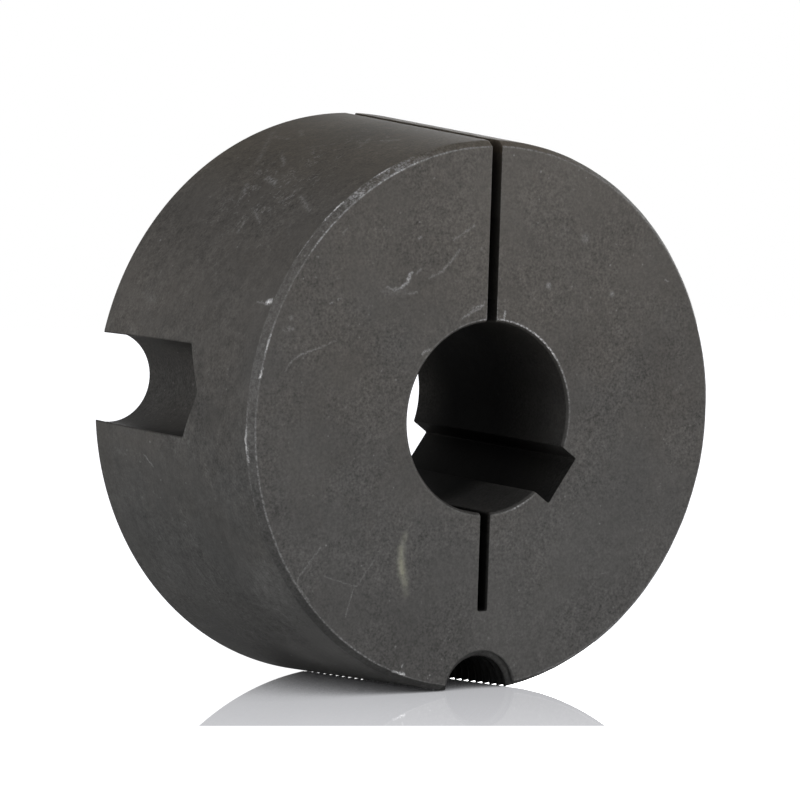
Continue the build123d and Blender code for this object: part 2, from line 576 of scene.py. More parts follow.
def strokes(g, P, items):
    """The strongest of many strokes; each item is (A, B, width, strength). Each one waits
    for the one before it, so that few values are held at a time."""
    out, here = None, P
    for a, b, w, s in items:
        n = g.node("Group")
        n.node_tree = STROKE
        g.put(n.inputs["P"], here)
        n.inputs["A"].default_value = a
        n.inputs["B"].default_value = b
        n.inputs["Width"].default_value = w
        n.inputs["Strength"].default_value = s
        out = n.outputs[0] if out is None else g.most(out, n.outputs[0])
        wait = g.node("VectorMath", operation="MULTIPLY_ADD")
        g.put(wait.inputs[0], out)
        wait.inputs[1].default_value = (1e-9, 1e-9, 1e-9)
        g.put(wait.inputs[2], P)
        here = wait.outputs[0]
    return out


def on_face(x, z):
    return (x, -LENGTH, z)


def on_cone(deg, y):
    r = LARGE_R + y * TAPER
    t = math.radians(deg)
    return (r * math.cos(t), y, r * math.sin(t))


def polyline(points, width, strength):
    """Strokes through the points; width and strength may be lists, one for each stretch."""
    n = len(points) - 1
    w = width if isinstance(width, (list, tuple)) else [width] * n
    s = strength if isinstance(strength, (list, tuple)) else [strength] * n
    return [(points[i], points[i + 1], w[i], s[i]) for i in range(n)]


def face_line(pts, width, strength):
    return polyline([on_face(*p) for p in pts], width, strength)


def cone_line(pts, width, strength):
    return polyline([on_cone(*p) for p in pts], width, strength)


def dot(p, width, strength, to=None):
    return [(p, to or p, width, strength)]


EXTRA = []
for spot, to in (((38.81, 25.11), (39.53, 24.75)), ((41.69, 20.42), (41.69, 20.42)), ((18.11, 45.35), (18.11, 45.35)), ((19.87, 44.0), (19.87, 44.0)), ((-13.57, 43.61), (-13.57, 43.61)), ((-5.15, 31.12), (-5.15, 31.12))):
    EXTRA += dot(on_face(*spot), 0.32, 0.5, on_face(*to))

# scratches and knocks with a crisp edge
CRISP = []
CRISP += face_line([(-22.9, 24.0), (-21.5, 23.5), (-19.9, 23.9), (-18.6, 24.9), (-18.1, 26.3), (-17.6, 26.6)],
                   [0.42, 0.52, 0.56, 0.6, 0.42], [0.5, 0.62, 0.8, 1.0, 0.8])
CRISP += face_line([(-17.0, 26.3), (-15.7, 27.2)], 0.36, 0.42)
CRISP += face_line([(-18.2, 22.8), (-16.6, 23.1)], 0.42, 0.42)
CRISP += face_line([(-43.8, 9.2), (-42.6, 10.8), (-40.5, 12.2), (-36.3, 13.5), (-33.1, 14.7)], [0.28, 0.32, 0.36, 0.32],
                   [0.3, 0.46, 0.52, 0.34])
CRISP += face_line([(-13.9, 25.7), (-11.2, 26.8), (-9.1, 28.9), (-7.6, 30.7)], 0.5, [0.4, 0.46, 0.42])
CRISP += face_line([(-8.9, 32.5), (-7.0, 33.6), (-4.5, 35.1)], 0.42, [0.36, 0.42])
CRISP += face_line([(-5.2, 18.8), (-4.1, 20.0), (-2.1, 20.6)], 0.5, [0.5, 0.62])
CRISP += face_line([(-6.5, 18.3), (-4.6, 19.3), (-2.6, 20.1), (-1.8, 21.2)], 0.4, [0.6, 0.5, 0.35])
CRISP += face_line([(-35.3, -22.3), (-39.6, -27.5), (-39.9, -28.9), (-37.2, -32.0)], 0.3, [0.4, 0.45, 0.4])
CRISP += face_line([(-34.4, -27.6), (-27.4, -29.8), (-23.9, -25.2)], 0.28, [0.34, 0.3])
CRISP += dot(on_face(-28.0, -29.9), 0.3, 0.36, on_face(-29.6, -35.2))
CRISP += dot(on_face(12.3, 24.1), 1.0, 0.68) + dot(on_face(26.7, 22.4), 0.9, 0.62) + dot(on_face(20.2, 32.8), 1.6, 0.4)
CRISP += dot(on_face(2.9, 19.4), 0.34, 0.9, on_face(2.6, 17.9))
CRISP += face_line([(-34.9, 21.2), (-34.3, 21.4)], 0.34, 0.55) + dot(on_face(-33.1, 21.9), 0.36, 0.45, on_face(-32.6, 22.1))
CRISP += face_line([(-32.7, 33.4), (-31.7, 34.6)], 0.3, 0.34)
CRISP += face_line([(-9.7, -43.1), (-6.9, -38.9)], 0.3, 0.22)
CRISP += face_line([(-14.8, 11.9), (-14.2, 12.5), (-13.4, 12.7)], 0.45, 0.6)
CRISP += dot(on_face(-16.4, 32.7), 0.5, 0.5, on_face(-16.0, 33.0)) + dot(on_face(-37.6, 29.5), 0.5, 0.5)
CRISP += dot(on_face(-37.9, 25.8), 0.36, 0.4) + dot(on_face(-23.6, 9.0), 0.36, 0.5) + dot(on_face(-26.3, 1.0), 0.36, 0.42)
CRISP += dot(on_face(9.6, 45.0), 0.36, 0.65) + dot(on_face(11.5, 43.9), 0.32, 0.55) + dot(on_face(26.0, 27.9), 0.36, 0.6)
CRISP += dot(on_face(-7.3, -38.6), 0.3, 0.5) + dot(on_face(-6.9, -40.4), 0.32, 0.55) + dot(on_face(-12.0, -38.1), 0.3, 0.45)
CRISP += dot(on_face(-18.7, -41.2), 0.36, 0.85) + dot(on_face(-11.1, -46.7), 0.34, 1.0) + dot(on_face(-13.5, -46.6), 0.3, 0.6)
CRISP += dot(on_face(-11.4, -47.4), 0.3, 0.7) + dot(on_face(3.7, -34.5), 0.3, 0.4) + dot(on_face(7.5, -46.0), 0.32, 0.65)
CRISP += dot(on_face(8.38, -15.67), 0.4, 0.9, on_face(8.0, -15.9)) + EXTRA
CRISP += dot(on_face(-17.2, -45.1), 0.3, 0.7, on_face(-16.9, -44.2))
# these lie on the edge between the end face and its chamfer
CRISP += dot(on_face(-19.3, -45.7), 0.46, 1.5, on_face(-17.6, -46.1)) + dot(on_face(-17.6, -46.1), 0.5, 1.6, on_face(-16.6, -46.35))
CRISP += face_line([(-48.2, 9.9), (-48.6, 9.2), (-48.85, 8.1)], [0.3, 0.42], [1.0, 1.5])
CRISP += face_line([(-46.8, 15.8), (-47.4, 14.1)], 0.32, 1.1)
RIM_MARKS = 5
CRISP += dot(on_cone(126.6, -50.1), 0.62, 1.3, on_cone(127.9, -50.1)) + dot(on_cone(155.1, -47.9), 0.95, 1.7, on_cone(154.9, -48.6))
CRISP += cone_line([(135.0, -49.5), (132.0, -49.42), (129.2, -49.5)], 0.34, [1.1, 1.5]) + cone_line([(120.0, -49.5), (116.2, -49.45)], 0.34, 1.4) + dot(on_cone(155.4, -47.2), 0.4, 0.5, on_cone(155.5, -44.8))
CRISP += dot(on_cone(173.0, -50.3), 0.48, 0.8)
CRISP += cone_line([(180.9, -49.5), (183.1, -49.15), (185.4, -49.4), (187.7, -49.5)], 0.46, [1.1, 1.4, 1.0])
CRISP += dot(on_cone(183.2, -49.1), 0.5, 1.7) + dot(on_cone(185.9, -49.3), 0.36, 1.0)
CRISP += cone_line([(-170.4, -15.9), (-168.3, -18.4)], 0.36, 0.5)
CRISP += dot(on_cone(-165.6, -20.2), 0.34, 0.5)
CRISP += dot(on_cone(168.6, -23.6), 0.3, 0.55)

# rubbed places with a soft edge
SOFT = []
SOFT += face_line([(-17.3, -20.8), (-18.1, -23.2), (-18.1, -25.6), (-17.7, -27.7), (-17.1, -29.7), (-16.8, -31.6)], [1.1, 1.35, 1.6, 1.5, 1.2],
                  [0.4, 0.62, 0.74, 0.58, 0.32])
SOFT += dot(on_face(15.5, 34.2), 2.0, 0.2)
SOFT += dot(on_face(-42.8, 18.7), 0.9, 0.5) + face_line([(-44.1, 16.6), (-42.5, 16.9)], 0.9, 0.5)
SOFT += face_line([(-23.5, 23.0), (-19.0, 23.2)], 1.3, 0.3)
SOFT += cone_line([(126.5, -22.0), (127.4, -25.6)], 1.3, 0.85)
SOFT += cone_line([(119.3, -17.8), (120.6, -20.4), (122.1, -21.9)], 0.8, [0.6, 0.5])
SOFT += cone_line([(129.8, -36.6), (131.6, -40.0), (133.0, -43.0)], 0.9, [0.55, 0.6])
SOFT += dot(on_cone(134.8, -31.8), 1.0, 0.7) + dot(on_cone(133.5, -35.2), 0.8, 0.5) + dot(on_cone(137.4, -38.1), 1.1, 0.45)
SOFT += cone_line([(138.2, -32.2), (135.8, -28.0)], 0.7, 0.55)
SOFT += cone_line([(129.4, -18.4), (133.1, -20.7)], 0.9, 0.65)
SOFT += cone_line([(141.0, -27.8), (138.3, -27.4)], 0.8, 0.6)
SOFT += cone_line([(122.6, -13.6), (119.6, -11.6), (114.9, -7.4), (111.0, -3.7)], 1.1, [0.4, 0.36, 0.3])
SOFT += cone_line([(112.9, -6.4), (112.7, -11.2)], 1.0, 0.38) + cone_line([(108.2, -9.4), (110.4, -12.6)], 0.9, 0.4)
SOFT += cone_line([(114.6, -20.4), (112.8, -23.0), (111.2, -25.0)], 0.8, 0.36)
SOFT += cone_line([(111.2, -32.9), (108.4, -31.4), (106.0, -29.8)], 0.9, 0.4)
SOFT += cone_line([(104.0, -36.6), (105.9, -33.6)], 1.0, 0.5) + dot(on_cone(108.0, -40.8), 1.1, 0.32)
SOFT += cone_line([(140.4, -43.3), (136.8, -40.4)], 0.7, 0.32)
SOFT += cone_line([(158.8, -13.6), (157.9, -9.4)], 1.1, 0.3) + cone_line([(167.2, -12.9), (165.3, -8.6)], 1.2, 0.3)
SOFT += cone_line([(-170.4, -7.0), (-170.0, -9.6)], 0.8, 0.36)


# broad lighter and darker places: centre, radius, how much. Partly uneven skin, partly painted light and shade: the end
# face lighter towards the top and darker low on the left, the cone lighter near its left outline and underneath
SKIN_AND_LIGHT_PATCHES = [((6.0, -LENGTH, 43.0), 34.0, 0.17), ((30.0, -LENGTH, 38.0), 24.0, 0.05), ((40.0, -LENGTH, 6.0), 26.0, -0.09),
          ((-16.0, -LENGTH, -42.0), 20.0, -0.13), ((6.0, -LENGTH, -26.0), 26.0, 0.09), ((-28.0, -LENGTH, -24.0), 16.0, 0.06),
          (on_cone(158.0, -10.0), 24.0, 0.14), (on_cone(143.0, -12.0), 16.0, -0.10), (on_cone(150.0, -46.0), 12.0, 0.10),
          (on_cone(101.0, -26.0), 18.0, -0.18), (on_cone(-119.0, -32.0), 10.0, 0.55), (on_cone(122.0, -14.0), 12.0, -0.08),
          (on_cone(-122.0, -46.0), 14.0, 0.6),
          (on_cone(-143.0, -45.0), 14.0, 0.27), (on_cone(98.0, -42.0), 12.0, -0.12),
          (on_cone(-179.0, -38.0), 20.0, -0.075), (on_cone(-156.0, -24.0), 20.0, -0.08),
          ((-35.3, -LENGTH, -33.6), 8.0, -0.13)]


def build_iron(name, crisp_marks, soft_marks, is_face, gloss=0.2):
    mat = bpy.data.materials.new(name)
    mat.use_nodes = True
    tree = mat.node_tree
    bsdf = tree.nodes["Principled BSDF"]
    g = Graph(tree)
    P = g.scale(g.node("TexCoord").outputs["Object"], 1000.0)
    x, y, z = g.xyz(P)
    r = g.length(x, z)
    turn = g.mul(g.math("ARCTAN2", x, z), 180 / math.pi)      # 0 at the top, -90 at the left
    ahead = g.add(y, LENGTH)                                  # distance from the small end face

    # regions
    end_face = g.step(ahead, 0.14, 0.02)
    far_face = g.step(y, -0.14, -0.02)
    flat = g.most(end_face, far_face)
    cone = g.mul(g.step(r, 48.0, 48.6), g.math("SUBTRACT", 1.0, flat))
    hx, hz = (PLAIN_R * math.cos(math.radians(PLAIN_ANGLE)), PLAIN_R * math.sin(math.radians(PLAIN_ANGLE)))
    d_left = g.length(g.add(x, -hx), g.add(z, -hz))
    d_right = g.length(g.add(x, hx), g.add(z, hz))
    drilled = g.math("MINIMUM", g.math("MAXIMUM", g.mad(g.add(y, PLAIN_DEPTH), 1.0 / PLAIN_TIP, 1.0), 0.0), 1.0)
    off_wall = g.add(g.math("MINIMUM", d_left, d_right), g.mul(drilled, -PLAIN_HOLE))
    dent = g.mul(g.step(off_wall, 0.4, 0.12), g.step(drilled, 0.0, 0.08))
    dent = g.mul(dent, g.step(y, 0.0, -0.25))
    jack = g.mul(g.step(g.length(x, g.add(z, JACK_R)), 8.15, 7.9), g.step(ahead, 0.03, 0.12))
    inside = g.mul(g.step(r, 37.0, 36.2), g.math("SUBTRACT", 1.0, flat))
    split = g.mul(g.mul(g.step(g.math("ABSOLUTE", x), 1.16, 1.02), g.step(z, 17.4, 18.0)),
                  g.math("SUBTRACT", 1.0, flat))

    # the blackened skin: grain, mottling, clouds
    grain = g.noise(P, 2.1, 2.0, 0.6)
    mottle = g.noise(P, 0.55, 3.0, 0.6, 31.0)
    cloud = g.noise(P, 0.085, 3.0, 0.5, 57.0)
    # turning streaks on the cone: long round it, short along it
    around = g.vector(g.mul(turn, 0.11), g.mul(y, 0.95), g.mul(z, 0.02))
    streak = g.noise(around, 1.0, 3.0, 0.65, 11.0)
    patch = g.step(g.noise(P, 0.075, 2.0, 0.5, 19.0), 0.36, 0.62)          # where the skin is coarse
    coarse = g.mad(patch, 0.75, 0.65)
    fine_amp = g.mul(coarse, g.mad(cone, -0.35, 1.35))
    blotch_amp = g.mul(coarse, g.mad(cone, 0.3, 0.62))
    tone = g.mad(g.add(grain, -0.5), fine_amp, 1.0)
    tone = g.mad(g.add(mottle, -0.5), blotch_amp, tone)
    tone = g.mad(g.add(cloud, -0.5), 0.42, tone)
    tone = g.mad(g.mul(g.add(streak, -0.5), cone), 0.26, tone)
    # painted light and shade, mixed into the skin's tone with the uneven patches
    for centre, radius, amount in SKIN_AND_LIGHT_PATCHES:
        skin_and_light_patch = g.step(g.vec("LENGTH", g.vec("SUBTRACT", P, centre), out=1), radius, 0.0)
        if centre[1] != -LENGTH:
            skin_and_light_patch = g.mul(skin_and_light_patch, cone)
        tone = g.mad(skin_and_light_patch, amount, tone)

    # small specks, light and dark
    vor = g.node("TexVoronoi", voronoi_dimensions="3D", feature="F1")
    g.put(vor.inputs["Vector"], P)
    vor.inputs["Scale"].default_value = 0.5
    cr, cg, cb = g.xyz(vor.outputs["Color"])
    size = g.mad(cg, 0.16, 0.05)
    speck = g.mul(g.step(vor.outputs["Distance"], size, 0.0), g.step(cr, 0.35, 0.75))
    pit_v = g.node("TexVoronoi", voronoi_dimensions="3D", feature="F1")
    g.put(pit_v.inputs["Vector"], g.vec("ADD", P, (9.3, 4.1, 2.2)))
    pit_v.inputs["Scale"].default_value = 0.62
    pr, pg, pb = g.xyz(pit_v.outputs["Color"])
    pit = g.mul(g.step(pit_v.outputs["Distance"], g.mad(pg, 0.14, 0.05), 0.0), g.step(pr, 0.4, 0.8))

    # scratches and rubbed places, broken up by the grain
    fine = g.noise(P, 3.4, 2.0, 0.7, 5.0)
    broken = g.step(fine, 0.30, 0.62)
    stir = g.node("TexNoise", noise_dimensions="3D")
    g.put(stir.inputs["Vector"], P)
    stir.inputs["Scale"].default_value = 1.3
    stir.inputs["Detail"].default_value = 2.0
    stirred = g.vec("ADD", P, g.scale(g.vec("SUBTRACT", stir.outputs[1], (0.5, 0.5, 0.5)), 0.75))
    crisp = g.mul(strokes(g, stirred, crisp_marks), g.mad(broken, 0.8, 0.3))
    brush = g.noise(P, 1.5, 3.0, 0.75, 77.0)
    soft = g.mul(strokes(g, stirred, soft_marks), g.step(brush, 0.36, 0.60))
    # faint hair scratches
    hair_n = g.noise(g.vec("ADD", P, g.scale(g.vec("SUBTRACT", stir.outputs[1], (0.5, 0.5, 0.5)), 1.2)), 0.2, 2.0, 0.5, 8.0)
    hair = g.step(g.math("ABSOLUTE", g.add(hair_n, -0.5)), 0.007, 0.001)
    hair = g.mul(g.mul(hair, g.step(mottle, 0.5, 0.62)), g.step(cloud, 0.42, 0.58))

    # curly pale wisps where the cone has rubbed
    wisp_n = g.noise(g.vec("ADD", P, g.scale(g.vec("SUBTRACT", stir.outputs[1], (0.5, 0.5, 0.5)), 1.5)), 0.42, 2.0, 0.6, 44.0)
    wisp = g.step(g.math("ABSOLUTE", g.add(wisp_n, -0.5)), 0.032, 0.004)
    near_a = g.step(g.vec("LENGTH", g.vec("SUBTRACT", P, on_cone(128.5, -27.0)), out=1), 19.0, 6.0)
    near_b = g.step(g.vec("LENGTH", g.vec("SUBTRACT", P, on_cone(106.0, -30.0)), out=1), 13.0, 4.0)
    wisp = g.mul(g.mul(wisp, g.mad(near_b, 0.6, near_a)), g.step(g.noise(P, 0.3, 2.0, 0.6, 61.0), 0.44, 0.6))

    # wear and painted highlights along the small end's chamfer and its two edges
    inner = g.length(g.add(r, -49.50), ahead)
    outer = g.length(g.add(r, -50.54), g.add(ahead, -CHAMFER_LEN))
    across = g.math("ABSOLUTE", g.add(g.add(r, -50.02), g.mul(g.add(ahead, -0.67), 0.0)))
    # brightness of each edge line by its turn round the axis: worn metal with a painted highlight where the light
    # catches it
    inner_level = g.curve(turn, -180, 180, [(-178, 0.3), (-168, 0.2), (-160, 0.45), (-150, 0.6), (-130, 0.4), (-110, 0.5),
                                            (-92, 0.5), (-84, 0.3), (-77, 0.45), (-74.5, 0.9), (-71.5, 0.85), (-70, 0.35),
                                            (-60, 0.32), (-53, 0.4), (-50, 0.7), (-46, 0.7), (-43, 0.5), (-38, 0.6), (-33, 0.6),
                                            (-26, 0.95), (-22, 0.85), (-15, 0.6), (-8, 0.45), (10, 0.4), (30, 0.32), (50, 0.4),
                                            (90, 0.5), (150, 0.45), (178, 0.3)])
    outer_level = g.curve(turn, -180, 180, [(-178, 0.08), (-120, 0.1), (-100, 0.3), (-92, 0.4), (-84, 0.2), (-56, 0.22), (-52, 0.5),
                                            (-49, 0.5), (-46, 0.25), (-45, 1.0), (-39, 1.0), (-38, 0.2), (-31, 0.2), (-30, 1.0),
                                            (-26, 0.95), (-25, 0.2), (20, 0.1), (178, 0.05)])
    band_level = g.curve(turn, -180, 180, [(-178, 0.1), (-120, 0.14), (-95, 0.3), (-70, 0.3), (-50, 0.24), (-42, 0.4), (-38.5, 0.5),
                                           (-37, 1.0), (-35, 1.0), (-34, 0.6), (-30, 0.62), (-23, 0.85), (-20, 0.5), (-12, 0.25),
                                           (0, 0.16), (178, 0.1)])
    wavy = g.noise(P, 0.62, 2.0, 0.6, 91.0)
    dots = g.step(g.noise(P, 1.7, 2.0, 0.7, 23.0), 0.38, 0.62)
    edge_a = g.mul(g.mul(g.step(inner, g.mad(wavy, 0.5, 0.12), 0.02), inner_level), g.mad(dots, 0.95, 0.45))
    edge_b = g.mul(g.mul(g.step(outer, g.mad(wavy, 0.4, 0.12), 0.02), outer_level), g.mad(dots, 1.3, 0.3))
    on_chamfer = g.mul(g.step(ahead, 1.65, 1.2), g.step(r, 49.1, 49.5))
    band = g.mul(g.mul(on_chamfer, band_level), g.mad(g.step(g.noise(P, 1.6, 3.0, 0.75, 42.0), 0.4, 0.62), 0.75, 0.24))
    # and along the bore's mouth, the split's edges and the jacking hole's mouth
    mouth = g.length(g.add(r, -17.95), ahead)
    # the bore's mouth brightest at the top right: worn edge with a painted highlight
    mouth_level = g.curve(turn, -180, 180, [(-178, 0.12), (-60, 0.16), (-20, 0.28), (4, 0.66), (20, 0.7), (34, 0.9), (50, 0.86),
                                            (62, 0.5), (100, 0.2), (146, 0.2), (152, 0.5), (160, 0.55), (166, 0.2), (178, 0.12)])
    edge_c = g.mul(g.mul(g.step(mouth, 0.42, 0.04), mouth_level), g.mad(dots, 1.35, 0.45))
    side = g.length(g.add(g.math("ABSOLUTE", x), -HALF_SPLIT), ahead)
    edge_d = g.mul(g.mul(g.step(side, 0.26, 0.02), g.curve(z, 0, 60, [(0, 0), (17, 0.0), (17.6, 0.8), (21, 0.65), (22.5, 0.25),
                                                                    (40, 0.2), (49.5, 0.3), (60, 0.3)])),
                   g.mad(dots, 0.8, 0.15))
    jm = g.length(g.add(g.length(x, g.add(z, JACK_R)), -JACK_MAJOR), ahead)
    edge_e = g.mul(g.step(jm, 0.22, 0.02), g.mul(dots, 0.22))

    bright = g.most(g.most(edge_a, edge_b), g.most(band, edge_c))
    bright = g.most(g.most(bright, edge_d), edge_e)
    bright = g.most(bright, crisp)
    bright = g.most(bright, g.mul(soft, 0.72))
    yellow = strokes(g, P, soft_marks[:5]) if is_face else 0.0
    bright = g.most(bright, g.mul(yellow, g.mad(brush, 1.1, 0.3)))
    bright = g.most(bright, g.mul(hair, 0.26))
    bright = g.most(bright, g.mul(wisp, 0.42))
    bright = g.most(bright, g.mul(speck, g.mad(cb, 0.5, 0.12)))
    covered = g.math("SUBTRACT", 1.0, g.most(jack, g.mul(inside, 0.8)))
    bright = g.mul(bright, covered)

    # how dark each region is: painted shade throughout, except the pits; first the small end's chamfer, darker by its
    # turn round the axis
    shaded = g.curve(turn, -180, 180, [(-178, 0.95), (-168, 0.8), (-158, 0.62), (-146, 0.56), (-130, 0.56), (-112, 0.76), (-95, 0.9), (-50, 0.88), (-20, 0.76), (-5, 0.9),
                                       (14, 0.85), (30, 0.58), (50, 0.68), (70, 1.0)])
    level = g.mad(g.mul(on_chamfer, g.math("SUBTRACT", 1.0, end_face)), g.add(shaded, -1.0), 1.0)
    # painted shade inside the plain half-holes
    level = g.mul(level, g.mad(dent, -0.485, 1.0))
    # painted shade in the bore: lighter near both mouths, darker deep inside, the lower wall lighter and the keyway
    # darker by turn
    painted_bore_light = g.most(g.step(ahead, 24.0, 0.0), g.mul(g.step(y, -14.0, 0.0), 0.5))
    low = g.curve(turn, -180, 180, [(-175, 1.0), (-140, 0.92), (-100, 0.1), (-55, 0.1), (-40, 0.19), (3, 0.19), (15, 0.1), (72, 0.1),
                                    (88, 0.18), (107, 0.18), (112, 0.1), (115, 0.03), (134, 0.03), (139, 0.1), (146, 1.0), (175, 1.0)])
    painted_bore_light = g.mul(painted_bore_light, g.mad(low, 4.4, g.mad(g.step(z, 1.0, -8.0), -0.25, 0.56)))
    painted_bore_light = g.math("MINIMUM", painted_bore_light, g.mad(g.step(low, 0.3, 0.9), -0.55, 1.7))
    level = g.mul(level, g.add(g.math("SUBTRACT", 1.0, inside), g.mul(inside, g.mad(painted_bore_light, 0.5, 0.045))))
    # painted shade in the jacking hole, darker still past its countersink
    level = g.mul(level, g.mad(g.mul(jack, g.step(ahead, 0.9, 1.6)), -0.74, 1.0))
    level = g.mul(level, g.mad(jack, -0.3, 1.0))
    # painted shade in the narrow slot below the bore, past its first millimetre
    within = g.step(ahead, 0.2, 1.2)
    slot = g.mul(g.mul(g.step(g.math("ABSOLUTE", x), 1.3, 1.16), g.step(z, -17.4, -18.0)), g.mul(g.step(r, 36.4, 36.0), within))
    level = g.mul(level, g.mad(slot, -0.85, 1.0))
    # painted shade in the split, a little lighter near the top and at the end face
    level = g.mul(level, g.mad(g.mul(split, g.mad(g.step(z, 45.0, 49.5), -0.3, g.mad(within, 0.2, 0.75))), -1.0, 1.0))
    level = g.mul(level, g.mad(pit, -0.28, 1.0))
    value = g.mul(g.mul(tone, level), BASE)
    # bare metal and pale dust where it is rubbed, and painted highlights along the edges
    value = g.mad(g.mul(bright, bright), 0.20, g.mad(bright, 0.115, value))

    # hue: browner towards the top, neutral low down, with faint rusty clouds
    warm_noise = g.noise(P, 0.06, 3.0, 0.6, 13.0)
    warm = g.step(g.add(g.add(z, g.mul(y, 0.15)), g.mul(g.add(warm_noise, -0.5), 90.0)), -42.0, 34.0)
    rust_n = g.step(g.noise(P, 0.16, 4.0, 0.6, 66.0), 0.60, 0.76)
    rust = g.mul(rust_n, g.mad(g.mul(cone, g.step(z, 30.0, 48.0)), 0.3, 0.08))
    rust = g.most(rust, g.mul(g.mul(split, g.step(z, 38.0, 48.0)), 0.9))
    red = g.mad(warm, 0.05, 1.015)
    green = g.mad(warm, -0.004, 0.995)
    blue = g.mad(warm, -0.06, 0.97)
    crown = g.mul(cone, g.step(z, 36.0, 52.0))
    under = g.mul(cone, g.step(z, 14.0, -20.0))
    red = g.mad(crown, 0.085, g.mad(under, -0.014, g.add(red, 0.01 if is_face else 0.0)))
    blue = g.mad(crown, -0.13, g.add(blue, -0.008 if is_face else 0.0))
    red = g.mad(rust, 0.16, red)
    green = g.mad(rust, -0.01, green)
    blue = g.mad(rust, -0.10, blue)
    red = g.mad(yellow, 0.03, red)
    green = g.mad(yellow, 0.04, green)
    blue = g.mad(yellow, -0.32, blue)
    # rubbed metal and the painted edge highlights have no tint of their own
    bare_and_highlit = g.math("MINIMUM", g.mul(g.math("SUBTRACT", 1.0, yellow) if is_face else 1.0, g.mul(bright, 1.6)), 1.0)
    red = g.mad(g.math("SUBTRACT", 1.0, red), bare_and_highlit, red)
    blue = g.mad(g.math("SUBTRACT", 1.0, blue), bare_and_highlit, blue)
    col = g.node("CombineColor", mode="RGB")
    for k, c in enumerate((red, green, blue)):
        g.put(col.inputs[k], g.mul(value, c))
    g.put(bsdf.inputs["Base Color"], col.outputs[0])

    rough = g.mad(g.add(mottle, -0.5), 0.16, 0.60)
    rough = g.mad(bright, -0.16, rough)
    g.put(bsdf.inputs["Roughness"], rough)
    bsdf.inputs["Specular IOR Level"].default_value = gloss

    bump = g.node("Bump")
    bump.inputs["Strength"].default_value = 0.55
    bump.inputs["Distance"].default_value = 0.00003
    height = g.mad(g.noise(P, 1.1, 3.0, 0.6, 3.0), 0.9, grain)
    height = g.mad(streak, 0.6, height)
    g.put(bump.inputs["Height"], height)
    g.put(bsdf.inputs["Normal"], bump.outputs[0])
    return mat


BASE = 0.0805
face_crisp = [m for m in CRISP if m[0][1] == -LENGTH]
side_crisp = [m for m in CRISP if m[0][1] != -LENGTH] + face_crisp[-RIM_MARKS:]
bush.data.materials.clear()
bush.data.materials.append(build_iron("blackened_iron", side_crisp, [m for m in SOFT if m[0][1] != -LENGTH], False))
bush.data.materials.append(build_iron("blackened_iron_face", face_crisp, [m for m in SOFT if m[0][1] == -LENGTH], True))
# the bore and keyway are duller than the rest
bush.data.materials.append(build_iron("blackened_iron_bore", CRISP[:1], SOFT[:1], False, 0.05))
for p in bush.data.polygons:
    if abs(p.normal.y) < 0.3 and math.hypot(p.center.x, p.center.z) < 0.0215:
        p.material_index = 2
    if p.normal.y < -0.999 and p.center.y < -(LENGTH - 0.01) * 0.001:
        p.material_index = 1

# ---------------------------------------------------------------------------
# Floor: the white gloss surface that the bush rests on. The cone's lowest line
# lies on it, so it is inclined to the bore axis by the cone's own angle.
# ---------------------------------------------------------------------------
TILT = math.radians(4.1)
FLOOR_D = -0.053513
floor_me = bpy.data.meshes.new("floor")
size = 6.0
floor_me.from_pydata([(-size, -size, 0), (size, -size, 0), (size, size, 0), (-size, size, 0)], [], [(0, 1, 2, 3)])
floor = bpy.data.objects.new("floor", floor_me)
bpy.context.scene.collection.objects.link(floor)
normal = Vector((0, math.sin(TILT), math.cos(TILT)))
floor.matrix_world = Matrix.Translation(normal * FLOOR_D) @ Matrix.Rotation(-TILT, 4, "X")


